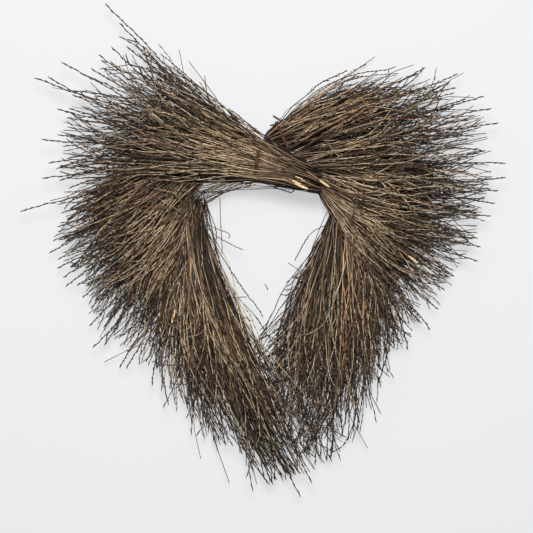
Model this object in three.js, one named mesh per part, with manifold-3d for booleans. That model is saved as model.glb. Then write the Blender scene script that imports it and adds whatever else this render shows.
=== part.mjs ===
// Heart wreath of bare twigs, lying on its back with the cleft towards +Y.
// Eight sheaves of thin twigs are tied one over the next. Each starts at a tight butt near the neck or an arm's
// inner edge and fans outwards, so the tips make the ragged outline. Two wraps of soft wire hold the neck.
// Places are measured from the middle of the neck, where the tie wire sits. Millimetres, +Z up.
import * as THREE from 'three';
import { mergeVertices } from 'three/addons/utils/BufferGeometryUtils.js';
import Module from 'manifold-3d';

// Driving dimensions
const WIDTH = 613; // the whole wreath, across the tips
const LENGTH = 623; // from the highest tip to the lowest
const DEPTH = 72; // from the back to the top of the neck
const TWIG_BUTT = 3.4; // thickness of a twig where it leaves its sheaf
const TWIG_TIP = 1.5; // thickness of a twig at its tip
const SHEAF_EDGE = 2.6; // thickness of a sheaf along its sides and tips
const LOCK_DEPTH = 0.26; // how deep the furrows between locks of twigs are, as a share of the half thickness
const BACK_DEPTH = 0.08; // the same on the back, which is pressed flat
const LOCK_REACH = 0.92; // how far a lock of twigs reaches, as a share of the way to the outermost tips
const FURROW_REACH = 0.72; // how far the furrow beside it reaches
const LOCK_WOBBLE = 0.07; // how unevenly the locks reach, as a share of the way
const TWIG_WOBBLE = 0.035; // the same for the single twigs at the tips
const TWIG_START = 0.5; // where a single twig leaves its sheaf's body, as a share of the way
const TWIG_LIFT = 9; // how far single twigs stand above and below their sheaf's middle at the tip
const STRAY_LIFT = 4; // the same for the long stray twigs, which all stand above it
const LIFT_AT_START = 0.7; // the share of that lift where the twig leaves the body
const WIRE = 1.7; // thickness of the tie wire
const WIRE_PITCH = 2.6; // spacing of neighbouring turns of wire
const CLEARANCE = 0.4; // room between two pieces that touch
const STATIONS = 7; // rings of facets along a sheaf
const ROOM = 1.15; // how much thicker the room is that a sheaf takes out of the ones below it
const SIDE_ROOM = 2; // and how much wider it is on either side, since its facets are longer
const SLIVER = 0.05; // facets thinner than this are smoothed away
const BEND = 0.45; // where a twig's curve turns, as a share of its reach
const WIRE_STEPS = 12; // facets along one turn of wire
const WIRE_SIDES = 5; // facets round the wire
const TWIG_SIDES = 3; // facets round a twig
const TWIG_BENDS = 3; // bends along a single twig of a sheaf
const UNEVEN = { lock: 2.4, twig: 2.1, lift: 1.7 }; // radians from one copy to the next, so that none repeats

// The drawing below gives its places and heights for a wreath of this size. A wreath of another width, length or
// depth has the same drawing, stretched.
const DRAWN = { width: 613, length: 623, depth: 72 };

// The sheaves, uppermost first. butt: the two ends of the tied edge. heading: the twigs' direction there, in
// degrees from +X. tips: the outermost tips in order from the first side to the second. middle and half: height
// of the sheaf's middle and its half thickness at the butt, half way and at the tips. strays: long single twigs,
// as the share across the sheaf that they leave from, and where their tip is.
const sheaves = [
  { name: 'left_lobe_sheaf', colour: 0x4a382c, locks: 8, twigs: 11,
    butt: [[50, -9], [58, -34]], heading: [148, 164],
    tips: [[-160, 158], [-208, 134], [-244, 84], [-260, 32], [-266, -16], [-276, -66]],
    middle: [57, 36, 26], half: [15, 24, 9],
    strays: [[0.06, -191, 199], [0.12, -173, 175], [0.3, -280, 105], [0.95, -297, -63]] },
  { name: 'right_lobe_sheaf', colour: 0x46352b, locks: 8, twigs: 11,
    butt: [[12, 39], [-14, -14]], heading: [32, 4],
    tips: [[92, 84], [150, 102], [205, 110], [256, 104], [290, 72], [304, 38], [312, 2]],
    middle: [26, 28, 30], half: [17, 26, 9],
    strays: [[0.5, 252, 110], [0.75, 304, 50], [0.98, 314, -2]] },
  { name: 'left_shoulder_sheaf', colour: 0x443429, locks: 6, twigs: 10,
    butt: [[-60, 8], [-26, -22]], heading: [194, 212],
    tips: [[-266, -46], [-258, -86], [-250, -130], [-226, -166]],
    middle: [20, 21, 22], half: [18, 27, 9],
    strays: [[0.5, -262, -115], [0.8, -244, -146]] },
  { name: 'right_shoulder_sheaf', colour: 0x48372c, locks: 6, twigs: 10,
    butt: [[44, 6], [76, -30]], heading: [0, -30],
    tips: [[308, -2], [304, -38], [292, -78], [276, -122]],
    middle: [19, 20, 22], half: [18, 27, 9],
    strays: [[0.4, 300, -36], [0.8, 281, -107]] },
  { name: 'left_arm_sheaf', colour: 0x4c3a2e, locks: 6, twigs: 10,
    butt: [[-82, -34], [-66, -54]], heading: [220, 258],
    tips: [[-228, -160], [-208, -204], [-178, -248], [-132, -274]],
    middle: [19, 19, 17], half: [18, 27, 9],
    strays: [[0.4, -212, -207], [0.75, -173, -260]] },
  { name: 'right_arm_sheaf', colour: 0x45352a, locks: 6, twigs: 10,
    butt: [[53, -9], [66, -34]], heading: [-27, -44],
    tips: [[280, -124], [252, -152], [226, -194], [192, -236]],
    middle: [19, 19, 17], half: [18, 27, 9],
    strays: [[0.3, 249, -144], [0.7, 218, -212]] },
  { name: 'left_point_sheaf', colour: 0x4b392d, locks: 8, twigs: 11,
    butt: [[-98, -60], [-70, -62]], heading: [262, 283],
    tips: [[-132, -266], [-80, -322], [-36, -358], [20, -404], [58, -416], [74, -384]],
    middle: [24, 22, 20], half: [18, 30, 9],
    strays: [[0.72, 56, -423], [0.6, 16, -407], [0.3, -82, -329]] },
  { name: 'right_point_sheaf', colour: 0x43342a, locks: 8, twigs: 12,
    butt: [[116, -44], [92, -74]], heading: [-56, -118],
    tips: [[194, -234], [158, -262], [132, -306], [104, -356], [68, -392], [24, -350], [-14, -276]],
    middle: [19, 19, 14], half: [18, 27, 9],
    strays: [[0.28, 127, -304], [0.5, 108, -345]] },
];

// Loose twigs that stand away from the arms' inner edges, as the points they pass through: x, y and height.
const looseTwigs = [
  { name: 'loose_twig_left', points: [[-62, -84, 42], [-45, -116, 38], [-16, -161, 34], [4, -190, 30]] },
  { name: 'loose_twig_right', points: [[97, -76, 34], [66, -92, 36], [46, -124, 32]] },
];

// Wraps of tie wire: centre of the wrapped bundle, half its width and half its height, the direction that the
// bundle runs in, degrees from +X, and the turns.
const wraps = [
  { name: 'neck_tie_wire', centre: [0, -1, 37], halfWidth: 24, halfHeight: 31, heading: 172, turns: 3 },
  { name: 'side_tie_wire', centre: [34, 27, 26], halfWidth: 26, halfHeight: 20, heading: 22, turns: 2 },
];

const wasm = await Module();
wasm.setup();
const { Manifold, Mesh } = wasm;
const { lerp, smoothstep, degToRad } = THREE.MathUtils;

// One closed three.js geometry as a solid
function toSolid(geometry) {
  geometry.deleteAttribute('normal');
  geometry.deleteAttribute('uv');
  const merged = mergeVertices(geometry, 1e-4);
  return new Manifold(new Mesh({
    numProp: 3,
    vertProperties: new Float32Array(merged.getAttribute('position').array),
    triVerts: new Uint32Array(merged.getIndex().array),
  }));
}

// Back again, as a mesh of flat facets
function toMesh(solid, name, material) {
  const { vertProperties, triVerts } = solid.getMesh();
  const geometry = new THREE.BufferGeometry();
  geometry.setAttribute('position', new THREE.BufferAttribute(new Float32Array(vertProperties), 3));
  geometry.setIndex(new THREE.BufferAttribute(new Uint32Array(triVerts), 1));
  const flat = geometry.toNonIndexed();
  flat.computeVertexNormals();
  const mesh = new THREE.Mesh(flat, material);
  mesh.name = name;
  return mesh;
}

// A place or a height of the drawing, at the wreath's own size
const place = ([x, y]) => new THREE.Vector2(x * WIDTH / DRAWN.width, y * LENGTH / DRAWN.length);
const raise = (z) => z * DEPTH / DRAWN.depth;

// A height that runs smoothly from the butt's through the half-way one to the tips'
function along([butt, half, tip], t) {
  return raise(t < 0.5 ? lerp(butt, half, smoothstep(t, 0, 0.5)) : lerp(half, tip, smoothstep(t, 0.5, 1)));
}

// The line in plan of a twig that lies at share s across a sheaf, out to its own tip or to the outermost tips
function fanLine(sheaf, s, tip) {
  const [first, second] = sheaf.butt.map(place);
  const start = first.lerp(second, s);
  const end = tip ?? new THREE.SplineCurve(sheaf.tips.map(place)).getPoint(s);
  const angle = degToRad(lerp(...sheaf.heading, s));
  const turn = start.distanceTo(end) * BEND;
  const control = new THREE.Vector2(Math.cos(angle), Math.sin(angle)).multiplyScalar(turn).add(start);
  return new THREE.QuadraticBezierCurve(start, control, end);
}

// The body of a sheaf: a box whose width runs across the fan and whose length runs from butt to tips. Every
// second column of its grid is the crest of a lock, which stands proud and ends in its own point.
function sheafBody(sheaf, grown) {
  const columns = 2 * sheaf.locks;
  const box = new THREE.BoxGeometry(1, 1, 1, columns, STATIONS, 1);
  const corners = box.getAttribute('position');
  const across = place(sheaf.butt[1]).sub(place(sheaf.butt[0]));
  const forward = fanLine(sheaf, 0.5).getTangent(0);
  const turned = across.cross(forward) < 0 ? -1 : 1; // keeps the facets facing outwards on either side
  for (let i = 0; i < corners.count; i++) {
    const column = Math.round((turned * corners.getX(i) + 0.5) * columns);
    const crest = grown > 0 || column % 2 === 1;
    const wobble = Math.sin(column * UNEVEN.lock) * LOCK_WOBBLE;
    const s = column / columns;
    const t = (corners.getY(i) + 0.5) * ((crest ? LOCK_REACH : FURROW_REACH) + wobble);
    const round = Math.sqrt(1 - (2 * s - 1) ** 2);
    const side = Math.sign(corners.getZ(i));
    const furrow = 1 - (side > 0 ? LOCK_DEPTH : BACK_DEPTH);
    const thick = along(sheaf.half, t) * round * (grown > 0 ? ROOM : crest ? 1 : furrow);
    const z = along(sheaf.middle, t) + side * (Math.max(thick, SHEAF_EDGE / 2) + grown);
    const line = fanLine(sheaf, s);
    const onwards = line.getTangent(t);
    const sideways = new THREE.Vector2(onwards.y, -onwards.x);
    const plan = line.getPoint(t)
      .addScaledVector(sideways, turned * (2 * s - 1) * (grown > 0 ? SIDE_ROOM : 0))
      .addScaledVector(onwards, 2 * corners.getY(i) * grown);
    corners.setXYZ(i, plan.x, plan.y, Math.max(z, -grown));
  }
  return toSolid(box);
}

// One twig: a slim three-sided cone bent along a curve
function twig(curve, steps, grown) {
  const corner = 2 * grown; // a three-sided cone's flats lie half as far out as its corners
  const cone = new THREE.CylinderGeometry(TWIG_TIP / 2 + corner, TWIG_BUTT / 2 + corner, 1, TWIG_SIDES, steps);
  const corners = cone.getAttribute('position');
  for (let i = 0; i < corners.count; i++) {
    const t = corners.getY(i) + 0.5;
    const tangent = curve.getTangent(t);
    const level = new THREE.Vector3(-tangent.y, tangent.x, 0).normalize();
    const up = new THREE.Vector3().crossVectors(tangent, level);
    const point = curve.getPoint(t);
    point.addScaledVector(level, corners.getX(i)).addScaledVector(up, -corners.getZ(i));
    point.addScaledVector(tangent, (2 * t - 1) * grown);
    corners.setXYZ(i, point.x, point.y, Math.max(point.z, -grown));
  }
  return toSolid(cone);
}

// A twig of a sheaf, from inside the body out to its tip
function sheafTwig(sheaf, s, tip, lift, grown) {
  const line = fanLine(sheaf, s, tip);
  const points = [];
  for (let i = 0; i <= TWIG_BENDS; i++) {
    const share = i / TWIG_BENDS;
    const t = lerp(TWIG_START, 1, share);
    const plan = line.getPoint(t);
    const height = along(sheaf.middle, t) + lift * lerp(LIFT_AT_START, 1, share);
    points.push(new THREE.Vector3(plan.x, plan.y, height));
  }
  return twig(new THREE.CatmullRomCurve3(points), TWIG_BENDS, grown);
}

// The whole sheaf, or the room that it needs when grown by the clearance
function sheafSolid(sheaf, grown) {
  const parts = [sheafBody(sheaf, grown)];
  for (let i = 0; i < sheaf.twigs; i++) {
    const s = (i + 0.5) / sheaf.twigs;
    const reach = 1 + TWIG_WOBBLE * Math.sin(i * UNEVEN.twig);
    const line = fanLine(sheaf, s);
    const near = line.getPoint(TWIG_START);
    const end = line.getPoint(1).sub(near).multiplyScalar(reach).add(near);
    const lift = TWIG_LIFT * Math.sin(i * UNEVEN.lift + 1);
    parts.push(sheafTwig(sheaf, s, end, lift, grown));
  }
  for (const [s, x, y] of sheaf.strays) {
    parts.push(sheafTwig(sheaf, s, place([x, y]), STRAY_LIFT, grown));
  }
  return Manifold.union(parts);
}

// A wire wound round a bundle, its turns side by side and its two ends lying on the bundle
function wrapSolid(wrap, grown) {
  const steps = wrap.turns * WIRE_STEPS;
  const heading = degToRad(wrap.heading);
  const run = new THREE.Vector3(Math.cos(heading), Math.sin(heading), 0);
  const across = new THREE.Vector3(-run.y, run.x, 0);
  const points = [];
  for (let i = 0; i <= steps; i++) {
    const angle = (i / WIRE_STEPS) * 2 * Math.PI - Math.PI / 2;
    const shift = (i / WIRE_STEPS - wrap.turns / 2) * WIRE_PITCH;
    const out = new THREE.Vector3(...wrap.centre).addScaledVector(across, Math.cos(angle) * wrap.halfWidth);
    const plan = place([out.x, out.y]);
    const z = raise(out.z + Math.sin(angle) * wrap.halfHeight);
    points.push(new THREE.Vector3(plan.x, plan.y, z).addScaledVector(run, shift));
  }
  const radius = WIRE / 2 + grown;
  const section = new THREE.Shape();
  for (let i = 0; i < WIRE_SIDES; i++) {
    const angle = (i / WIRE_SIDES) * 2 * Math.PI;
    section[i ? 'lineTo' : 'moveTo'](radius * Math.cos(angle), radius * Math.sin(angle));
  }
  const path = new THREE.CatmullRomCurve3(points);
  return toSolid(new THREE.ExtrudeGeometry(section, { extrudePath: path, steps }));
}

function looseSolid(loose, grown) {
  const points = loose.points.map(([x, y, z]) => new THREE.Vector3(...place([x, y]), raise(z)));
  return twig(new THREE.CatmullRomCurve3(points), 2 * points.length, grown);
}

// The piece left when everything above it has taken its room: its largest body, without slivers
function cutBy(solid, taken) {
  const rest = (taken.length ? solid.subtract(Manifold.union(taken)) : solid).simplify(SLIVER);
  return rest.decompose().reduce((most, body) => (body.volume() > most.volume() ? body : most));
}

const bark = (colour) => new THREE.MeshStandardMaterial({ color: colour, roughness: 0.85, metalness: 0 });
const wire = new THREE.MeshStandardMaterial({ color: 0x5b3323, roughness: 0.6, metalness: 0.6 });

const wreath = new THREE.Group();
const taken = [];
for (const wrap of wraps) {
  wreath.add(toMesh(wrapSolid(wrap, 0), wrap.name, wire));
  taken.push(wrapSolid(wrap, CLEARANCE));
}
for (const sheaf of sheaves) {
  wreath.add(toMesh(cutBy(sheafSolid(sheaf, 0), taken), sheaf.name, bark(sheaf.colour)));
  taken.push(sheafSolid(sheaf, CLEARANCE));
}
for (const loose of looseTwigs) {
  wreath.add(toMesh(cutBy(looseSolid(loose, 0), taken), loose.name, bark(0x3f3128)));
  taken.push(looseSolid(loose, CLEARANCE));
}

// The origin is under the middle of the whole outline, at the height that the wreath lies on
const outline = new THREE.Box3().setFromObject(wreath, true);
const middle = outline.getCenter(new THREE.Vector3());
wreath.position.set(-middle.x, -middle.y, -outline.min.z);

export default wreath;
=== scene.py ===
import math

import bmesh
import bpy
import numpy as np
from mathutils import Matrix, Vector


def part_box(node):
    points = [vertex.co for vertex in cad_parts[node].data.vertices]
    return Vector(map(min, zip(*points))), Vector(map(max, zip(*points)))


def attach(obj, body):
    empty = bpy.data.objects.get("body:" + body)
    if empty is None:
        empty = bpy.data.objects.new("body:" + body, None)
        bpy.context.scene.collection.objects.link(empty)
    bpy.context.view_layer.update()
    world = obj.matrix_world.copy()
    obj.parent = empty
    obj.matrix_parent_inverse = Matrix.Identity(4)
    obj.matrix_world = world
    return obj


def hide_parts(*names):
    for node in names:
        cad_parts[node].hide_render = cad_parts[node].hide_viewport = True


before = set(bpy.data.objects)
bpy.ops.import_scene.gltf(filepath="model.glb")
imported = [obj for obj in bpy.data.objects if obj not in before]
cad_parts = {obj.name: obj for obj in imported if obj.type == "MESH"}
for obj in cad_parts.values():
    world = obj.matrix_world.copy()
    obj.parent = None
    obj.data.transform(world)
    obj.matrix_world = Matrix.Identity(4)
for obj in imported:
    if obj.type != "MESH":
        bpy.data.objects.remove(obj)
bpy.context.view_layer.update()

# The room: a pale surface that the wreath lies on, seen from straight above, in soft daylight.
# The camera's frame is measured from the middle of the tied neck, where the tie wire sits, and so is
# every place on the wreath.
MM = 0.001
neck_low, neck_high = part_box("neck_tie_wire")
NECK_X = (neck_low[0] + neck_high[0]) / 2
NECK_Y = (neck_low[1] + neck_high[1]) / 2 + 1 * MM  # the wire sits 1 mm below the neck's middle
FRAME_WIDTH = 672 * MM  # what the picture's width shows, at the height of the wreath's middle
FRAME_CENTRE = (12 * MM, -131.7 * MM)
CAMERA_HEIGHT = 2.4
WREATH_MIDDLE = 30 * MM
SENSOR = 36.0

bpy.ops.object.camera_add(
    location=(NECK_X + FRAME_CENTRE[0], NECK_Y + FRAME_CENTRE[1], CAMERA_HEIGHT), rotation=(0, 0, 0)
)
camera = bpy.context.object
camera.data.sensor_width = SENSOR
camera.data.lens = SENSOR * (CAMERA_HEIGHT - WREATH_MIDDLE) / FRAME_WIDTH
camera.data.clip_end = 20
bpy.context.scene.camera = camera
bpy.context.scene.view_settings.view_transform = "Standard"

bpy.ops.mesh.primitive_plane_add(size=8, location=(0, 0, -0.0005))
floor = bpy.context.object
floor.name = "pale_surface"
floor_paint = bpy.data.materials.new("matt_white_surface")
floor_paint.use_nodes = True
floor_shader = floor_paint.node_tree.nodes["Principled BSDF"]
floor_shader.inputs["Base Color"].default_value = (0.32, 0.32, 0.32, 1)
floor_shader.inputs["Roughness"].default_value = 0.9
floor_shader.inputs["Emission Color"].default_value = (0.97, 0.985, 1, 1)
floor_shader.inputs["Emission Strength"].default_value = 0.525
floor.data.materials.append(floor_paint)


def soft_lamp(name, place, turn, size, power):
    bpy.ops.object.light_add(type="AREA", location=place, rotation=turn)
    lamp = bpy.context.object
    lamp.name = name
    lamp.data.shape = "DISK"
    lamp.data.size = size
    lamp.data.energy = power


soft_lamp("overhead_softbox", (0.03, 0.66, 2.1), (math.radians(-17.5), 0, 0), 0.7, 45)
soft_lamp("side_softbox", (-1.6, 1.2, 1.5), (math.radians(-35), math.radians(-42), 0), 0.9, 5)
world = bpy.data.worlds.new("pale_room")
bpy.context.scene.world = world
world.use_nodes = True
world.node_tree.nodes["Background"].inputs["Color"].default_value = (0.95, 0.98, 1, 1)
world.node_tree.nodes["Background"].inputs["Strength"].default_value = 0.20

# A bare twig, the unit that the whole wreath is made of: a slim dry stem that turns a little every few
# knots, with short pointed buds standing off it in a spiral. Four kinds are modelled once, straight: the
# forked one has side shoots, the swollen one bigger buds, and the plain one, which fills sheaves, has none.
TWIG_LENGTH = 100.0  # the straight model's length, in its own units, so that heights read as percent
STEM = 1.0  # its radius, which a copy multiplies by its own, as it does what stands off the stem
BUD_LENGTH = 1.8
BUD_GIRTH = 2.4
BUD_OUT = 1.3  # how far a bud's middle stands from the stem's
BUD_TILT = 0.8
SPIRAL = math.radians(137.5)  # the turn from one bud to the next
SHOOT_FOOT = (1.6, 0.2, 0.1)  # how far out and up a shoot first grows, and what it keeps of its height
SHOOT_GROWTH = (3.2, 1.6, 0.8)  # the same for each of its three further lengths
SHOOT_TAPER = 0.8  # what each length keeps of the width of the one before


def select_only(thing, kind, wanted):
    """Selects, in edit mode, the corners or faces that pass a test."""
    bpy.ops.mesh.select_mode(type=kind)
    bpy.ops.mesh.select_all(action="DESELECT")
    form = bmesh.from_edit_mesh(thing.data)
    chosen = [part for part in (form.verts if kind == "VERT" else form.faces) if wanted(part)]
    for part in chosen:
        part.select_set(True)
    form.select_flush_mode()
    bmesh.update_edit_mesh(thing.data)
    return chosen


def grow_shoot(twig, place, spacing):
    """A side shoot, drawn out of the stem's face half way from one bend to the next."""
    side = 1 if place % 2 else -1
    form = bmesh.from_edit_mesh(twig.data)
    half_way = [face for face in form.faces if abs(face.calc_center_median().z / spacing - place - 0.5) < 0.2]
    best = max(half_way, key=lambda face: face.normal.x * side).index
    middle = select_only(twig, "FACE", lambda face: face.index == best)[0].calc_center_median().copy()
    for out, up, height_kept in (SHOOT_FOOT, SHOOT_GROWTH, SHOOT_GROWTH, SHOOT_GROWTH):
        bpy.ops.mesh.extrude_region_move(TRANSFORM_OT_translate={"value": (side * out, 0, up)})
        middle.x += side * out
        middle.z += up
        bpy.ops.transform.resize(value=(1, SHOOT_TAPER, height_kept), center_override=middle)


def model_twig(name, bends, lean, buds_from, buds, shoots=(), swell=1):
    """A straight twig along +Z. It gives the twig and how many of its corners are the stem's."""
    bpy.ops.object.select_all(action="DESELECT")
    bpy.ops.mesh.primitive_cylinder_add(
        vertices=3, radius=STEM, depth=TWIG_LENGTH, end_fill_type="NGON", location=(0, 0, TWIG_LENGTH / 2)
    )
    twig = bpy.context.object
    twig.name = name
    bpy.ops.object.transform_apply(location=True)
    bpy.ops.object.mode_set(mode="EDIT")
    spacing = TWIG_LENGTH / (bends + 1)
    for bend in range(1, bends + 1):
        bpy.ops.mesh.select_all(action="SELECT")
        bpy.ops.mesh.bisect(plane_co=(0, 0, bend * spacing), plane_no=(0, 0, 1))
    for bend in range(1, bends + 1):
        select_only(twig, "VERT", lambda corner: abs(corner.co.z - bend * spacing) < 0.01)
        bpy.ops.transform.translate(value=(lean if bend % 2 else -lean, 0, 0))
    for place in shoots:
        grow_shoot(twig, place, spacing)
    bpy.ops.object.mode_set(mode="OBJECT")
    stem_corners = len(twig.data.vertices)
    bpy.ops.object.mode_set(mode="EDIT")
    for bud in range(buds):
        height = buds_from + (TWIG_LENGTH - buds_from) * (bud + 0.5) / buds
        turn = bud * SPIRAL
        bpy.ops.mesh.primitive_cone_add(
            vertices=3, radius1=BUD_GIRTH * swell, depth=BUD_LENGTH * swell, rotation=(0, BUD_TILT, turn),
            location=(BUD_OUT * math.cos(turn), BUD_OUT * math.sin(turn), height)
        )
    bpy.ops.mesh.select_all(action="SELECT")
    bpy.ops.mesh.normals_make_consistent(inside=False)
    bpy.ops.object.mode_set(mode="OBJECT")
    return twig, stem_corners


def read_twig(twig, stem_corners):
    """The straight twig's corners, triangles, buds and rings, and then the model is put away."""
    twig.data.calc_loop_triangles()
    corners = np.array([vertex.co for vertex in twig.data.vertices])
    triangles = np.array([triangle.vertices for triangle in twig.data.loop_triangles])
    bpy.data.objects.remove(twig)
    buds = np.arange(len(corners)) >= stem_corners
    rings = np.unique(np.round(corners[:, 2], 1), return_inverse=True)[1]
    return corners, triangles, buds, rings


budded = read_twig(*model_twig("budded_twig", bends=14, lean=0.45, buds_from=50, buds=15))
forked = read_twig(*model_twig("forked_twig", bends=16, lean=0.45, buds_from=50, buds=14, shoots=(9, 12, 14)))
plain = read_twig(*model_twig("plain_twig", bends=7, lean=0.4, buds_from=100, buds=0))
swollen = read_twig(*model_twig("swollen_bud_twig", bends=14, lean=0.45, buds_from=20, buds=14, swell=1.5))

# Bark: thin and dry, pale straw brown on the outer twigs; deep in a sheaf it is nearly black, which is
# painted shade. Some twigs are reddish and some olive, there are worn greyish patches, and buds are darker;
# the tips are darkened too, with painted shade. Each corner carries four facts for it: the twig's tone, with
# painted shade for its depth and for crowding at its butt, how far along the twig it is, bud or not, and hue.
# from the painted shade of twigs deep in a sheaf, nearly black, to the palest outer twig
BARK_TONES = (
    (0.0, (0.009, 0.006, 0.004)), (0.3, (0.065, 0.041, 0.024)),
    (0.65, (0.36, 0.262, 0.168)), (1.0, (0.92, 0.755, 0.545)),
)
BARK_HUES = (  # from reddish, by plain brown, to olive and a rare yellow
    (0.0, (1.0, 0.68, 0.5)), (0.08, (1.0, 0.8, 0.66)), (0.25, (1, 0.93, 0.86)), (0.75, (1, 0.98, 0.92)),
    (0.92, (0.98, 0.96, 0.74)), (0.985, (1.02, 0.95, 0.62)), (1.0, (1.4, 0.95, 0.35)),
)
BARK_SPECKLE = ((0.3, (0.72, 0.7, 0.68)), (0.6, (1.15, 1.15, 1.15)))
WORN_BARK = (0.27, 0.225, 0.185, 1)
# painted shade: the dark colour that each twig's last part is darkened towards, up to its tip
TIP_PAINTED_SHADE = (0.075, 0.058, 0.046, 1)
BUD_SKIN = (0.07, 0.027, 0.017, 1)


def link(tree, source, target):
    tree.links.new(source, target)


def ramp_node(tree, source, stops):
    node = tree.nodes.new("ShaderNodeValToRGB")
    while len(node.color_ramp.elements) < len(stops):
        node.color_ramp.elements.new(0.5)
    for element, (place, colour) in zip(node.color_ramp.elements, stops):
        element.position = place
        element.color = (*colour, 1)
    link(tree, source, node.inputs["Fac"])
    return node.outputs["Color"]


def greys(*stops):
    """Stops of a ramp without colour, from pairs of place and brightness."""
    return [(place, (bright, bright, bright)) for place, bright in stops]


def mix_node(tree, blend, factor, first, second):
    node = tree.nodes.new("ShaderNodeMix")
    node.data_type = "RGBA"
    node.blend_type = blend
    for socket, value in ((node.inputs[0], factor), (node.inputs[6], first), (node.inputs[7], second)):
        if isinstance(value, bpy.types.NodeSocket):
            link(tree, value, socket)
        else:
            socket.default_value = value
    return node.outputs[2]


def noise_node(tree, scale, detail):
    place = tree.nodes.new("ShaderNodeTexCoord")
    noise = tree.nodes.new("ShaderNodeTexNoise")
    noise.inputs["Scale"].default_value = scale
    noise.inputs["Detail"].default_value = detail
    link(tree, place.outputs["Object"], noise.inputs["Vector"])
    return noise.outputs["Fac"]


def roughen(tree, shader, height, strength, depth):
    """Fine unevenness of a surface, which follows a pattern."""
    bump = tree.nodes.new("ShaderNodeBump")
    bump.inputs["Strength"].default_value = strength
    bump.inputs["Distance"].default_value = depth
    link(tree, height, bump.inputs["Height"])
    link(tree, bump.outputs["Normal"], shader.inputs["Normal"])


def bark_material(name):
    bark = bpy.data.materials.new(name)
    bark.use_nodes = True
    tree = bark.node_tree
    shader = tree.nodes["Principled BSDF"]
    facts = tree.nodes.new("ShaderNodeAttribute")
    facts.attribute_name = "twig"
    split = tree.nodes.new("ShaderNodeSeparateColor")
    link(tree, facts.outputs["Color"], split.inputs["Color"])
    tone, along, bud = split.outputs[0], split.outputs[1], split.outputs[2]
    hue = facts.outputs["Alpha"]
    patches = noise_node(tree, scale=260, detail=3)
    fine = noise_node(tree, scale=1500, detail=2)
    brown = ramp_node(tree, tone, BARK_TONES)
    tinted = mix_node(tree, "MULTIPLY", 1.0, brown, ramp_node(tree, hue, BARK_HUES))
    wear = ramp_node(tree, patches, greys((0.45, 0), (0.8, 0.22)))
    worn = mix_node(tree, "MIX", wear, tinted, WORN_BARK)
    speckled = mix_node(tree, "MULTIPLY", 0.8, worn, ramp_node(tree, fine, BARK_SPECKLE))
    # painted shade: from 0.7 of the way along, each twig is darkened towards its tip
    tip_shade = ramp_node(tree, along, greys((0.7, 0), (1, 0.75)))
    tip_shaded = mix_node(tree, "MIX", tip_shade, speckled, TIP_PAINTED_SHADE)
    on_bud = ramp_node(tree, bud, greys((0, 0), (1, 0.6)))
    buds = mix_node(tree, "MIX", on_bud, tip_shaded, BUD_SKIN)
    link(tree, buds, shader.inputs["Base Color"])
    rough = ramp_node(tree, patches, greys((0.3, 0.75), (0.7, 0.5)))
    link(tree, rough, shader.inputs["Roughness"])
    roughen(tree, shader, fine, strength=0.5, depth=0.0003)
    shader.inputs["Specular IOR Level"].default_value = 0.35
    return bark


bark = bark_material("dry_twig_bark")

# Laying a twig: its straight model is bent along a line of points, thinned from butt to tip and turned
# about its own length. A bundle collects its twigs' corners and triangles, and becomes one mesh in bark.
# Where twigs crowd together near their butts, their tone is darkened there, which is painted shade, and stems
# redden towards the butt.
LOWEST = 0.0002  # no corner lies lower, in metres
LOOK_AHEAD = 0.02  # the share of a twig's length over which its direction is read
# Painted shade at the butts: each twig's butt keeps a random share, at most BUTT_LIGHT, of its tone, which
# rises to the full tone at CROWDED of its length.
BUTT_LIGHT = 0.65  # how much of its tone the brightest butt keeps
CROWDED = 0.45  # the share of a twig, from its butt, that others shade
REDDENED = 0.3  # the share that is redder
REDDEST = 0.7  # how much of its hue is left at the very butt
MOTTLE = 0.1  # how much a twig's tone varies from one ring of corners to the next


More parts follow.
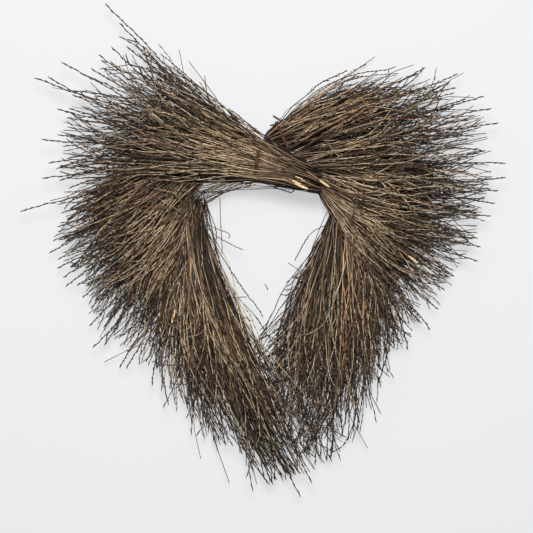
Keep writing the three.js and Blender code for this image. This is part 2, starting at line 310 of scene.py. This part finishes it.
class Bundle:
    """Bent twigs on their way to becoming one piece."""

    def __init__(self, name):
        self.name = name
        self.corners = []
        self.triangles = []
        self.facts = []
        self.count = 0

    def lay(self, model, line, butt, tip, tone, hue, chance):
        """line: points from butt to tip, in metres. butt and tip: radii in metres."""
        corners, triangles, buds, rings = model
        line = np.asarray(line, dtype=float)
        step = np.linalg.norm(np.diff(line, axis=0), axis=1)
        run = np.concatenate([[0], np.cumsum(step)])
        share = corners[:, 2] / TWIG_LENGTH
        at = share * run[-1]
        reach = run[-1] * LOOK_AHEAD
        centre, ahead, behind = (
            np.stack([np.interp(at + shift, run, line[:, axis]) for axis in range(3)], axis=1)
            for shift in (0, reach, -reach)
        )
        tangent = ahead - behind
        tangent /= np.linalg.norm(tangent, axis=1)[:, None]
        level = np.cross((0, 0, 1.0), tangent)
        level /= np.linalg.norm(level, axis=1)[:, None] + 1e-9
        up = np.cross(tangent, level)
        radius = (butt + (tip - butt) * share)[:, None]
        roll = chance.uniform(0, 2 * math.pi)
        across = corners[:, 0] * math.cos(roll) - corners[:, 1] * math.sin(roll)
        over = corners[:, 0] * math.sin(roll) + corners[:, 1] * math.cos(roll)
        bent = centre + level * across[:, None] * radius + up * over[:, None] * radius
        bent[:, 2] = np.maximum(bent[:, 2], LOWEST)
        mottle = chance.normal(0, MOTTLE, rings.max() + 1)[rings]
        # painted shade: the tone is darkened near the butt, where twigs crowd
        shade = chance.uniform(0, BUTT_LIGHT)
        lit = shade + (1 - shade) * np.clip(share / CROWDED, 0, 1)
        facts = np.zeros((len(corners), 4))
        facts[:, 0] = np.clip(tone * lit + mottle * (0.25 + tone), 0, 1)
        facts[:, 1] = share
        facts[:, 2] = buds
        facts[:, 3] = hue * (REDDEST + (1 - REDDEST) * np.clip(share / REDDENED, 0, 1))
        self.corners.append(bent)
        self.triangles.append(triangles + self.count)
        self.facts.append(facts)
        self.count += len(corners)

    def finish(self, material):
        corners = np.concatenate(self.corners)
        triangles = np.concatenate(self.triangles)
        mesh = bpy.data.meshes.new(self.name)
        mesh.vertices.add(len(corners))
        mesh.vertices.foreach_set("co", corners.ravel())
        mesh.loops.add(triangles.size)
        mesh.loops.foreach_set("vertex_index", triangles.ravel())
        mesh.polygons.add(len(triangles))
        mesh.polygons.foreach_set("loop_start", np.arange(0, triangles.size, 3))
        mesh.update(calc_edges=True)
        mesh.attributes.new("twig", "FLOAT_COLOR", "POINT")
        mesh.attributes["twig"].data.foreach_set("color", np.concatenate(self.facts).ravel())
        mesh.polygons.foreach_set("use_smooth", np.ones(len(triangles), dtype=bool))
        mesh.materials.append(material)
        piece = bpy.data.objects.new(self.name, mesh)
        bpy.context.collection.objects.link(piece)
        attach(piece, "root")
        return piece


# The eight sheaves. Each holds some hundreds of twigs that are tied together at the butt and fan out to the
# outline. Twigs near the middle of a sheaf's thickness only fill it, and those outside drift across others.
# Places and heights are in millimetres, from the middle of the neck and from the back of the wreath.
BEND = 0.45  # how far a twig holds its first direction, as a share of the way
TWIG_BUTT = 0.56 * MM
TWIG_TIP = 0.48 * MM
TOP = 72  # no twig stands higher
LINE_POINTS = 19
# Painted shade: twigs in the inner FILLING share of a sheaf's thickness get nearly black tones, and those
# within COVERED darker ones, for their depth among the others; outer twigs are pale or dull at random.
FILLING = 0.45  # the inner share of a sheaf's thickness, which dark twigs without buds fill
COVERED = 0.7  # the share within which twigs lie under others
TONES_AND_DEPTH_SHADE = {"filling": (0.06, 0.04), "covered": (0.3, 0.15), "pale": (0.88, 0.09), "dull": (0.35, 0.18)}
EVEN_SPREAD = 0.618034  # a step of this share from twig to twig fills the whole thickness evenly
UNTIED = (0.02, 0.42)  # where along a sheaf its untied twigs begin
DRIFT = 0.18  # how far a twig drifts across its sheaf from butt to tip, as a share of the width
STRAY_DRIFT = 0.45  # the same for the few that stray
STRAYS = 0.08  # how many do, as a share
SWERVE = 0.11  # how far a tip swerves
SIDE_SPREAD = 0.08  # how unevenly the butts stand across a sheaf
REACH_SPREAD = 0.17  # how unevenly far the tips reach along it
REACH_LIMITS = (0.35, 0.95)
WAVE = 0.03  # how strongly a twig wanders up and down
WAVE_GROWTH = 9  # and how that grows towards its tip
BOTTOM = 1.2  # no line of a twig lies lower
GIRTHS = (0.8, 1.25)
KINK = 0.11  # how strongly a twig turns at a step
FADING = 0.8 ** np.arange(12)  # what is left of a turn at each step after it
FORKED_SHARE = 0.3
BEFORE_FORKING = 0.6  # paler twigs have no forks, because those would blur the sheaf's flow
LONG_GIRTH = (1.25, 1.35)  # how much thicker a long twig is, at its butt and at its tip

# For each sheaf: its two tied corners and the twigs' directions there, in degrees from +X, and then its
# outermost tips from the first side to the second. middle and half: the height of its middle and its half
# thickness, at the butt, half way and at the tips. begins: where along it the tied twigs begin, and tied:
# how many of the twigs are. reach: how far along it a common twig's tip comes. pale: how many of the outer
# twigs are pale. long: the tips of single twigs that stand out of the outline.
SHEAVES = [
    {"name": "right_point_sheaf", "twigs": 860, "butt": ((116, -44), (92, -70)), "heading": (-56, -114),
     "tips": ((194, -234), (158, -262), (132, -306), (104, -356), (68, -392), (24, -350), (-14, -276)),
     "middle": (20, 20, 18), "half": (16, 20, 14),
     "begins": (-0.12, 0.12), "tied": 0.25, "reach": 0.76, "pale": 0.62,
     "long": ((73, -382), (88, -378), (93, -367), (108, -345), (127, -339), (132, -307), (139, -297),
              (146, -266), (154, -260), (174, -234), (190, -237))},
    {"name": "left_point_sheaf", "twigs": 860, "butt": ((-98, -60), (-70, -62)), "heading": (262, 283),
     "tips": ((-132, -266), (-80, -322), (-36, -358), (20, -404), (58, -416), (74, -384)),
     "middle": (24, 24, 22), "half": (17, 24, 15),
     "begins": (-0.08, 0.1), "tied": 0.25, "reach": 0.76, "pale": 0.62,
     "long": ((-140, -252), (-132, -282), (-82, -329), (-72, -316), (-39, -357), (-4, -391), (16, -407),
              (20, -407), (25, -401), (55, -423), (69, -405))},
    {"name": "right_arm_sheaf", "twigs": 760, "butt": ((53, -9), (78, -34)), "heading": (-34, -60),
     "tips": ((280, -124), (252, -152), (226, -194), (192, -236)),
     "middle": (21, 22, 20), "half": (16, 21, 15),
     "begins": (0, 0.04), "tied": 0.15, "reach": 0.66, "pale": 0.9,
     "long": ((174, -213), (204, -202), (218, -212), (229, -186), (237, -162), (249, -144))},
    {"name": "left_arm_sheaf", "twigs": 760, "butt": ((-82, -34), (-66, -54)), "heading": (220, 258),
     "tips": ((-228, -160), (-208, -204), (-178, -248), (-132, -274)),
     "middle": (21, 22, 20), "half": (16, 21, 15),
     "begins": (0, 0.04), "tied": 0.15, "reach": 0.66, "pale": 0.82,
     "long": ((-220, -171), (-212, -207), (-193, -207), (-207, -234), (-193, -231), (-173, -260),
              (-165, -261), (-146, -242))},
    {"name": "right_shoulder_sheaf", "twigs": 760, "butt": ((44, 6), (76, -30)), "heading": (1, -44),
     "tips": ((310, 14), (306, -34), (292, -78), (276, -122)),
     "middle": (20, 23, 23), "half": (16, 21, 16),
     "begins": (0, 0.04), "tied": 0.15, "reach": 0.66, "pale": 0.84,
     "long": ((278, -125), (282, -107), (278, -96), (295, -68), (300, -52), (304, -36), (313, -20))},
    {"name": "left_shoulder_sheaf", "twigs": 780, "butt": ((-98, 26), (-58, -14)), "heading": (212, 232),
     "tips": ((-256, -56), (-258, -90), (-250, -130), (-226, -166)),
     "middle": (21, 23, 23), "half": (16, 21, 16),
     "begins": (0, 0.04), "tied": 0.15, "reach": 0.66, "pale": 0.78,
     "long": ((-234, -59), (-251, -88), (-262, -115), (-251, -123), (-252, -134), (-244, -146),
              (-241, -157), (-227, -156))},
    {"name": "right_lobe_sheaf", "twigs": 780, "butt": ((12, 39), (-14, -14)), "heading": (34, 2),
     "tips": ((92, 84), (150, 102), (205, 110), (256, 104), (290, 76), (304, 48), (308, 26)),
     "middle": (26, 29, 30), "half": (17, 23, 17),
     "begins": (0, 0.04), "tied": 0.15, "reach": 0.66, "pale": 0.86,
     "long": ((313, -2), (286, 13), (304, 49), (295, 67), (285, 82), (262, 78), (251, 93), (252, 110),
              (202, 110), (179, 100), (149, 100), (115, 88), (87, 83), (73, 72))},
    {"name": "left_lobe_sheaf", "twigs": 860, "butt": ((60, -1), (57, -35)), "heading": (157, 165),
     "tips": ((-160, 158), (-208, 134), (-244, 84), (-262, 44), (-262, 12), (-250, -16)),
     "middle": (55, 38, 30), "half": (14, 22, 17),
     "begins": (-0.09, 0.12), "tied": 0.75, "reach": 0.66, "pale": 0.95,
     "long": ((-191, 199), (-173, 175), (-164, 145), (-183, 144), (-199, 135), (-208, 117), (-194, 118),
              (-219, 110), (-246, 125), (-280, 105), (-262, 106), (-232, 84), (-251, 66), (-237, 67),
              (-239, 55), (-251, 34), (-270, 28), (-236, 5), (-251, -8), (-270, -21), (-248, -24),
              (-297, -63), (-262, -2), (-236, -34))},
]


def along_sheaf(values, t):
    """Runs smoothly from the butt's value through the half-way one to the tips'."""
    first = np.clip(t / 0.5, 0, 1)
    second = np.clip((t - 0.5) / 0.5, 0, 1)
    ease_in = first * first * (3 - 2 * first)
    ease_out = second * second * (3 - 2 * second)
    return values[0] + (values[1] - values[0]) * ease_in + (values[2] - values[1]) * ease_out


def outermost(tips, s):
    """The outline at share s across a sheaf, on a smooth curve through its outermost tips."""
    points = np.array(tips, dtype=float)
    place = np.clip(s, 0, 1) * (len(points) - 1)
    start = np.minimum(place.astype(int), len(points) - 2)
    w = (place - start)[:, None]
    p0, p1 = points[np.maximum(start - 1, 0)], points[start]
    p2, p3 = points[start + 1], points[np.minimum(start + 2, len(points) - 1)]
    v0, v1 = (p2 - p0) / 2, (p3 - p1) / 2
    return (2 * p1 - 2 * p2 + v0 + v1) * w ** 3 + (-3 * p1 + 3 * p2 - 2 * v0 - v1) * w ** 2 + v0 * w + p1


def fan_points(sheaf, s, t):
    """Plan places at shares s across a sheaf and t along it, in millimetres from the neck."""
    first, second = np.array(sheaf["butt"], dtype=float)
    start = first + (second - first) * s[:, None]
    end = outermost(sheaf["tips"], s)
    angle = np.radians(sheaf["heading"][0] + (sheaf["heading"][1] - sheaf["heading"][0]) * s)
    turn = np.linalg.norm(end - start, axis=1) * BEND
    control = start + np.stack([np.cos(angle), np.sin(angle)], axis=1) * turn[:, None]
    t = t[:, None]
    return (1 - t) ** 2 * start + 2 * t * (1 - t) * control + t ** 2 * end


def rounded(s):
    """How much of its thickness a sheaf has at shares s across it: all in the middle, little at the sides."""
    return np.sqrt(np.clip(1 - (2 * s - 1) ** 2, 0.04, 1))


def place_line(plan, height):
    """A line in the wreath's own frame, in metres, from plan places and heights in millimetres."""
    return np.stack([plan[:, 0] * MM + NECK_X, plan[:, 1] * MM + NECK_Y, height * MM], axis=1)


def grid(low, high, count):
    """Shares across a sheaf and along it, from its one side to the other and between two of its lengths."""
    return (axis.ravel() for axis in np.meshgrid(np.linspace(0, 1, count), np.linspace(low, high, count)))


def crooked(plan, chance, kink, hook=0):
    """The same line with a small turn at every step, which fades after it, and a longer one at the tip."""
    beyond = plan[-1] - plan[0]
    length = np.linalg.norm(beyond)
    sideways = np.array([-beyond[1], beyond[0]]) / (length + 1e-9)
    steps = np.linspace(0, 1, len(plan))
    turns = np.convolve(chance.normal(0, kink, len(plan)) * (0.5 + 0.7 * steps), FADING)[:len(plan)]
    turns += hook * np.clip(chance.normal(0, 1), -1.7, 1.7) * steps ** 2
    return plan + sideways * (np.cumsum(turns) * length / (len(plan) - 1))[:, None]


def tone_with_depth_shade(depth, pale, chance):
    """Outer twigs are pale or dull at random, and the deeper one lies, the darker its tone, which is painted
    shade.
    """
    if abs(depth) < FILLING:
        return chance.normal(*TONES_AND_DEPTH_SHADE["filling"])
    if abs(depth) < COVERED:
        return chance.normal(*TONES_AND_DEPTH_SHADE["covered"])
    return chance.normal(*TONES_AND_DEPTH_SHADE["pale" if chance.random() < pale else "dull"])


def folded(share):
    """A share that strayed past 0 or 1 turns back from there, so that no twigs pile up at a sheaf's sides."""
    return abs((share + 1) % 2 - 1)


def lay_sheaf(sheaf, chance):
    """The twigs of one sheaf, each on its own way from the tied edge towards the outline."""
    bundle = Bundle("twigs_of_" + sheaf["name"])
    steps = np.linspace(0, 1, LINE_POINTS)
    for number in range(sheaf["twigs"]):
        depth = 1 - 2 * ((number * EVEN_SPREAD) % 1)  # from the front, 1, to the back, -1
        tied = chance.random() < sheaf["tied"]
        begins = chance.uniform(*(sheaf["begins"] if tied else UNTIED))
        reach = np.clip(chance.normal(sheaf["reach"], REACH_SPREAD), *REACH_LIMITS)
        t = begins + (reach - begins) * steps
        first = folded((number + chance.random()) / sheaf["twigs"] + chance.normal(0, SIDE_SPREAD))
        drift = STRAY_DRIFT if chance.random() < STRAYS else DRIFT
        last = folded(first + chance.normal(0, drift))
        swerve = chance.normal(0, SWERVE)
        if not 0 < last + swerve < 1:  # a tip never swerves out of its sheaf's sides
            swerve = -swerve
        s = np.clip(first + (last - first) * steps + swerve * steps ** 3, 0, 1)
        plan = crooked(fan_points(sheaf, s, t), chance, kink=KINK)
        height = along_sheaf(sheaf["middle"], t) + depth * along_sheaf(sheaf["half"], t) * rounded(s)
        height += np.cumsum(np.cumsum(chance.normal(0, WAVE, len(steps)))) * WAVE_GROWTH * steps
        height = np.clip(height, BOTTOM, TOP)
        girth = chance.uniform(*GIRTHS)
        # the tone holds painted shade for the twig's depth in the sheaf
        tone = tone_with_depth_shade(depth, sheaf["pale"], chance)
        model = plain
        if abs(depth) > FILLING:
            model = forked if tone < BEFORE_FORKING and chance.random() < FORKED_SHARE else budded
        bundle.lay(model, place_line(plan, height), TWIG_BUTT * girth, TWIG_TIP * girth,
                   tone, chance.uniform(0, 0.97), chance)
    return bundle


def lay_long_twigs(bundle, sheaf, chance):
    """The single twigs that stand out of a sheaf's outline, each with its tip at a given place."""
    steps = np.linspace(0, 1, LINE_POINTS)
    shares, reaches = grid(0.6, 1.3, 61)
    passed = fan_points(sheaf, shares, reaches)
    for tip in sheaf["long"]:
        nearest = np.argmin(np.linalg.norm(passed - tip, axis=1))
        t = 0.3 + (reaches[nearest] - 0.3) * steps
        plan = crooked(fan_points(sheaf, np.full(len(t), shares[nearest]), t), chance, kink=0.06, hook=0.1)
        plan += (np.array(tip) - plan[-1]) * (steps ** 2)[:, None]
        lift = chance.uniform(0.2, 0.9)
        height = along_sheaf(sheaf["middle"], t) + lift * along_sheaf(sheaf["half"], t)
        model = forked if chance.random() < 0.35 else budded
        bundle.lay(model, place_line(plan, height), TWIG_BUTT * LONG_GIRTH[0], TWIG_TIP * LONG_GIRTH[1],
                   chance.uniform(0.15, 0.5), chance.uniform(0, 0.95), chance)


for index, sheaf in enumerate(SHEAVES):
    chance = np.random.default_rng(40 + index)
    bundle = lay_sheaf(sheaf, chance)
    lay_long_twigs(bundle, sheaf, chance)
    piece = bundle.finish(bark)
    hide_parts(sheaf["name"])

# Single twigs that belong to no sheaf. Some hang loose in the opening, off the arms' inner edges, or spread
# there as wisps. Some bow out over the lobes, and others lie across the sheaves and hold the tangle
# together. Each is given by places that it passes through, in millimetres from the neck, from butt to tip.
CROSSING = (  # places, girth, tone, hue: stems that lie on the sheaves
    (((-147, -9), (-110, -11), (-73, -18)), 2.4, 0.5, 0.0),
    (((-146, -31), (-108, -39), (-94, -50)), 1.4, 0.75, 0.2),
    (((-140, -37), (-115, -52), (-92, -66)), 1.1, 0.8, 0.3),
    (((-120, -13), (-102, -43), (-89, -55)), 1.3, 0.55, 0.02),
    (((-45, -8), (-70, -28), (-96, -52)), 1.1, 0.6, 0.15),
    (((-156, -55), (-134, -57), (-103, -59)), 1.5, 0.55, 0.02),
    (((-119, -76), (-105, -70), (-93, -70)), 1.2, 0.55, 0.02),
    (((-194, -253), (-168, -240), (-142, -227)), 1.0, 0.5, 0.6),
    (((-75, 52), (-88, 34), (-103, 13)), 1.3, 0.12, 0.4),
    (((-147, 69), (-126, 54), (-105, 35)), 1.2, 0.95, 0.5),
    (((39, 14), (75, 36), (111, 55), (152, 79)), 3.4, 0.6, 0.12),
    (((60, 18), (88, 36), (111, 50), (150, 76)), 2.8, 0.55, 0.1),
)
HANGING = (  # the same for those that hang in the opening, with their heights too
    (((-75.6, -66.8, 40), (-45.4, -115.9, 38), (-16.4, -161.3, 34),
      (-2.5, -180.2, 31), (6.3, -196.6, 29)), 1.0),
    (((-74.3, -69.3, 30), (-54.2, -83.2, 32), (-35.3, -90.7, 33), (-36.5, -97, 30)), 0.8),
    (((-74.3, -69.3, 26), (-50.4, -94.5, 27), (-18.9, -112.1, 28)), 0.8),
    (((-46.6, -45.4, 36), (-46, -80, 37), (-45.4, -115.9, 36)), 0.8),
    (((-69.3, -55.4, 34), (-39.1, -37.8, 33), (-1.3, -27.7, 30)), 1.0),
    (((-68, -95.8, 24), (-67.4, -117.9, 26)), 0.8),
    (((-72.8, -76.5, 30), (-72.8, -95.8, 32)), 0.8),
    (((-66.8, -74, 28), (-66.8, -96, 29), (-66.8, -117, 26)), 0.9),
    (((-49.1, -167.6, 26), (-30, -170, 28), (-12.6, -170.1, 30)), 0.8),
    (((94.5, -76.9, 33), (66.8, -90.7, 36), (46.6, -123.5, 32)), 1.0),
    (((39.1, -127.3, 24), (48, -133, 27), (56.7, -141.1, 24)), 0.8),
    (((10.1, -153.7, 28), (13.9, -161.3, 26)), 0.8),
    (((84, -44, 24), (93, -60, 26), (95.5, -72, 25), (88, -84, 22)), 0.9),
    (((20, -31.5, 20), (43, -30, 21), (45, -38, 20), (33, -35, 19), (22, -31.5, 20)), 1.2),
)
SPRIGS = (  # twigs with swollen reddish buds, which lie on the left lobe's fringe
    ((-148, -6), (-185, -1), (-218, 19)), ((-150, -12), (-165, -5), (-204, 18), (-200, 3)),
    ((-120, -4), (-154, 5), (-183, 18), (-198, 16)), ((-108, 60), (-122, 78), (-135, 111), (-147, 147)),
    ((-120, -18), (-162, -16), (-197, 0), (-251, -9)), ((-110, 20), (-150, 22), (-176, 4)),
)
ARCS = (  # twigs that bow out over a lobe's top: how many, and the outermost and innermost of their lines
    (11, ((-9, 25), (-23, 50), (-40, 68), (-61, 85), (-86, 108), (-108, 120), (-125, 126), (-142, 134)),
     ((-14, 20), (-34, 40), (-57, 56), (-84, 71), (-112, 90), (-134, 103), (-154, 116), (-172, 128))),
    (9, ((28, 50), (50, 67), (76, 85), (106, 98), (142, 105), (180, 104)),
     ((34, 44), (58, 56), (90, 71), (122, 84), (152, 91), (188, 94))),
)
SPRAYS = (  # wisps: how many, the corner that their butts spread from, and the two ends of where they reach
    (14, ((-26, -20), (-3, -27)), ((-80, -30), (-70, -56))),
    (9, ((-88, -120), (-62, -190)), ((-44, -186), (-12, -210))),
    (9, ((96, -96), (62, -170)), ((52, -136), (26, -176))),
    (6, ((104, -70), (98, -84)), ((84, -104), (70, -130))),
    (12, ((-70, -38), (-64, -58)), ((-68, -104), (-52, -126))),
)


def smooth_line(points, count=LINE_POINTS):
    """Evenly many places on a smooth curve through some points, whatever their number of coordinates."""
    points = np.array(points, dtype=float)
    places = [outermost(points[:, pair], np.linspace(0, 1, count)) for pair in ([0, 1], [-2, -1])]
    return places[0] if points.shape[1] == 2 else np.column_stack([places[0], places[1][:, 1]])


NEARBY = 7  # how near a sheaf's place has to be for a twig to rest on it, in millimetres
OFF_THE_SHEAVES = 12  # the height where nothing is that near
top_places = []
top_heights = []
for sheaf in SHEAVES:
    s, t = grid(0, 0.9, 41)
    top_places.append(fan_points(sheaf, s, t))
    top_heights.append(along_sheaf(sheaf["middle"], t) + along_sheaf(sheaf["half"], t) * rounded(s))
top_places = np.concatenate(top_places)
top_heights = np.concatenate(top_heights)


def lie_on_top(plan, above):
    """The heights of a stiff twig that rests on what is below it: a gentle curve over the sheaves' tops."""
    near = np.linalg.norm(top_places[None] - plan[:, None], axis=2) < NEARBY
    tops = np.where(near, top_heights[None], OFF_THE_SHEAVES).max(axis=1)
    steps = np.linspace(-1, 1, len(plan))
    curve = np.polyval(np.polyfit(steps, tops, 2), steps)
    return np.minimum(curve + above, TOP)


chance = np.random.default_rng(70)
single = Bundle("loose_and_crossing_twigs")
for places, girth, tone, hue in CROSSING:
    plan = crooked(smooth_line(places), chance, kink=0.03)
    line = place_line(plan, lie_on_top(plan, above=5))
    single.lay(budded, line, TWIG_BUTT * girth, TWIG_BUTT * girth * 0.8, tone, hue, chance)
for places in SPRIGS:
    plan = crooked(smooth_line(places), chance, kink=0.05)
    line = place_line(plan, lie_on_top(plan, above=1.5))
    single.lay(swollen, line, TWIG_BUTT, TWIG_TIP, tone=0.4, hue=0, chance=chance)
for number, outer, inner in ARCS:
    for place in range(number):
        share = (place + chance.random()) / number
        between = np.array(outer) * (1 - share) + np.array(inner) * share
        between += chance.normal(0, 1.5, (len(outer), 2))
        kept = chance.integers(len(outer) - 2, len(outer) + 1)
        plan = crooked(smooth_line(between[:kept]), chance, kink=0.08, hook=0.1)
        height = np.linspace(24, chance.uniform(22, 42), LINE_POINTS)
        single.lay(budded, place_line(plan, height), TWIG_TIP * 1.4, TWIG_TIP, chance.uniform(0.1, 0.6),
                   chance.uniform(0, 0.95), chance)
for places, girth in HANGING:
    line = smooth_line(places)
    plan = crooked(line[:, :2], chance, kink=0.02)
    single.lay(budded, place_line(plan, line[:, 2]), TWIG_TIP * girth * 1.5, TWIG_TIP * girth,
               chance.uniform(0.2, 0.5), chance.uniform(0, 0.95), chance)
for number, start, end in SPRAYS:
    start = np.array(start, dtype=float)
    end = np.array(end, dtype=float)
    for wisp in range(number):
        butt = start[0] + (start[1] - start[0]) * chance.random() + chance.normal(0, 2, 2)
        tip = end[0] + (end[1] - end[0]) * chance.random() + chance.normal(0, 2, 2)
        elbow = (butt + tip) / 2 + chance.normal(0, 5, 2)
        line = smooth_line(((*butt, 16), (*elbow, chance.uniform(10, 34)), (*tip, chance.uniform(8, 34))))
        plan = crooked(line[:, :2], chance, kink=0.06, hook=0.1)
        single.lay(budded, place_line(plan, line[:, 2]), TWIG_TIP * 1.4, TWIG_TIP * 0.9,
                   chance.uniform(0.2, 0.7), chance.random(), chance)
piece = single.finish(bark)
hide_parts("loose_twig_left")
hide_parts("loose_twig_right")

# Cut ends: the thick butts of a few stems show past the ties. Pruning shears left most of them with a long
# slanted face of pale yellow wood, and the ones beside the side tie are dark and weathered.
CUT_STEMS = (  # the cut end and the other end, in millimetres from the neck, radius, fresh or weathered
    ((60, -25.5, 68), (36, -15, 64), 1.15, True),
    ((64.5, -35.5, 66), (30, -22, 62), 1.5, True),
    ((55, -29.5, 68), (33, -21, 65), 1.0, True),
    ((91, -33, 62), (62, -14, 68), 1.3, True),
    ((202, -127, 45), (168, -103, 43), 1.2, True),
    ((151, 79, 50), (112, 56, 56), 1.6, True),
    ((-107, -203, 43), (-100, -176, 44), 1.5, True),
    ((19, 59, 30), (38, 47, 34), 1.5, False),
    ((15, 46, 26), (34, 49, 32), 1.4, False),
    ((52, 64, 33), (66, 54, 38), 1.6, False),
    ((50, 58, 28), (40, 49, 32), 0.7, False),
)
SLANT = 6  # how far the cut leans, as the tangent of its angle
SWAY = 0.25 * MM  # how far a stem strays from straight


def wood_material(name, grain, stops, roughness):
    """Wood or bark in two colours that follow its grain, which is given as scale and detail."""
    wood = bpy.data.materials.new(name)
    wood.use_nodes = True
    tree = wood.node_tree
    shader = tree.nodes["Principled BSDF"]
    link(tree, ramp_node(tree, noise_node(tree, *grain), stops), shader.inputs["Base Color"])
    shader.inputs["Roughness"].default_value = roughness
    return wood


cut_wood = wood_material("fresh_cut_pale_wood", (900, 3),
                         ((0.35, (0.72, 0.45, 0.2)), (0.6, (0.95, 0.72, 0.42))), 0.7)
fresh_bark = wood_material("reddish_stem_bark", (420, 4),
                           ((0.35, (0.09, 0.045, 0.025)), (0.7, (0.4, 0.23, 0.13))), 0.75)
old_bark = wood_material("weathered_stem_bark", (420, 4),
                         ((0.35, (0.025, 0.015, 0.011)), (0.7, (0.12, 0.08, 0.06))), 0.75)
slanted = Vector((0, SLANT, 1)).normalized()
for number, (end, other, radius, fresh) in enumerate(CUT_STEMS):
    ends = np.array((end, other), dtype=float)
    end, other = (Vector(place) for place in place_line(ends[:, :2], ends[:, 2]))
    run = end - other
    bpy.ops.object.select_all(action="DESELECT")
    bpy.ops.mesh.primitive_cylinder_add(vertices=10, radius=radius * MM, depth=run.length)
    stem = bpy.context.object
    stem.name = "cut_stem_%d" % (number + 1)
    stem.data.materials.append(fresh_bark if fresh else old_bark)
    stem.data.materials.append(cut_wood)
    bpy.ops.object.mode_set(mode="EDIT")
    for share in (-0.3, -0.1, 0.1, 0.3):
        bpy.ops.mesh.select_all(action="SELECT")
        bpy.ops.mesh.bisect(plane_co=(0, 0, share * run.length), plane_no=(0, 0, 1))
        select_only(stem, "VERT", lambda corner: abs(corner.co.z - share * run.length) < 1e-6)
        aside = SWAY * math.sin(9 * share + number)
        along = SWAY * math.cos(7 * share)
        bpy.ops.transform.translate(value=(aside, along, 0))
    bpy.ops.mesh.select_all(action="SELECT")
    bpy.ops.mesh.bisect(plane_co=(0, 0, run.length / 2 - radius * MM * SLANT), plane_no=slanted,
                        use_fill=True, clear_outer=True)
    if fresh:
        select_only(stem, "FACE", lambda face: abs(face.normal.z) > 0.15 and face.calc_center_median().z > 0)
        stem.active_material_index = 1
        bpy.ops.object.material_slot_assign()
    bpy.ops.mesh.select_all(action="SELECT")
    bpy.ops.mesh.normals_make_consistent(inside=False)
    bpy.ops.object.mode_set(mode="OBJECT")
    stem.rotation_mode = "QUATERNION"
    stem.rotation_quaternion = run.to_track_quat("Z", "Y")
    stem.location = (end + other) / 2
    bpy.ops.object.transform_apply(location=True, rotation=True)
    bpy.ops.object.shade_smooth_by_angle(angle=math.radians(40))
    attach(stem, "root")

# The tie wires: soft iron wire, rusted dark brown. One wraps the neck in a few turns, with its ends twisted
# together below and one end left long. The other holds the stems of the right lobe beside it.
WIRE = 1.7  # thickness, in millimetres
WRAPS = (  # the node replaced, centre, half width and height of the bundle, heading in degrees, turns
    ("neck_tie_wire", (0, -1, 37.5), 24, 32.5, 172, 3),
    ("side_tie_wire", (34, 27, 26), 26, 20, 22, 2),
)
PITCH = 1.5  # spacing of the turns
STEPS_PER_TURN = 24
TWIST_FROM = (-1.5, -14, 62.5)  # where the neck wire's ends meet
TWIST_STEPS = 26
TWIST_TURNS = 2.5
TWIST_LENGTH = 10
TWIST_RADIUS = 0.9
TAIL = ((-4, -24, 53.5), (-6.5, -27, 47), (-8.8, -29, 43))  # the end that was left long
RUST = ((0.3, (0.03, 0.012, 0.008)), (0.5, (0.1, 0.038, 0.02)), (0.75, (0.2, 0.08, 0.036)))


def rusty_wire_material():
    rust = bpy.data.materials.new("rusty_iron_wire")
    rust.use_nodes = True
    tree = rust.node_tree
    shader = tree.nodes["Principled BSDF"]
    patches = noise_node(tree, scale=350, detail=4)
    link(tree, ramp_node(tree, patches, RUST), shader.inputs["Base Color"])
    shader.inputs["Metallic"].default_value = 0.25
    shader.inputs["Roughness"].default_value = 0.75
    roughen(tree, shader, patches, strength=0.4, depth=0.0002)
    return rust


def wire_piece(name, lines, thickness):
    """One or more wires, as round rods along lines of places in millimetres."""
    bpy.ops.object.select_all(action="DESELECT")
    bpy.ops.curve.primitive_nurbs_path_add()
    wire = bpy.context.object
    wire.name = name
    wire.data.splines.clear()
    for line in lines:
        line = np.asarray(line, dtype=float)
        spline = wire.data.splines.new("POLY")
        spline.points.add(len(line) - 1)
        places = place_line(line[:, :2], line[:, 2])
        spline.points.foreach_set("co", np.column_stack([places, np.ones(len(line))]).ravel())
    wire.data.bevel_depth = thickness / 2 * MM
    wire.data.bevel_resolution = 1
    wire.data.use_fill_caps = True
    bpy.ops.object.convert(target="MESH")
    bpy.ops.object.shade_smooth_by_angle(angle=math.radians(50))
    return bpy.context.object


def twisted_ends():
    """The neck wire's two ends, which wind about each other downwards and away from the front."""
    twist = np.linspace(0, TWIST_TURNS * 2 * math.pi, TWIST_STEPS)
    down = np.linspace(0, TWIST_LENGTH, TWIST_STEPS)
    for start in (0, math.pi):
        x = TWIST_FROM[0] + np.cos(twist + start) * TWIST_RADIUS - down * 0.25
        y = TWIST_FROM[1] - down
        height = TWIST_FROM[2] - down * 0.9 + np.sin(twist + start) * TWIST_RADIUS
        yield np.stack([x, y, height], axis=1)


rust = rusty_wire_material()
chance = np.random.default_rng(90)
for name, centre, half_width, half_height, heading, turns in WRAPS:
    run = np.array([math.cos(math.radians(heading)), math.sin(math.radians(heading)), 0])
    across = np.array([-run[1], run[0], 0])
    turn = np.arange(turns * STEPS_PER_TURN + 1) / STEPS_PER_TURN
    angle = turn * 2 * math.pi - math.pi / 2
    tilt = np.interp(turn, np.arange(turns + 1), chance.normal(0, 1.1, turns + 1))
    out = (np.array(centre) + np.cos(angle)[:, None] * across * half_width
           + np.sin(angle)[:, None] * np.array([0, 0, half_height])
           + ((turn - turns / 2) * PITCH + tilt * np.cos(angle))[:, None] * run)
    lines = [out]
    if name == "neck_tie_wire":
        lines.extend(twisted_ends())
        lines.append(smooth_line(TAIL, 8))
    piece = wire_piece(name.replace("wire", "wire_wrap"), lines, WIRE)
    piece.data.materials.append(rust)
    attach(piece, "root")
    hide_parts(name)
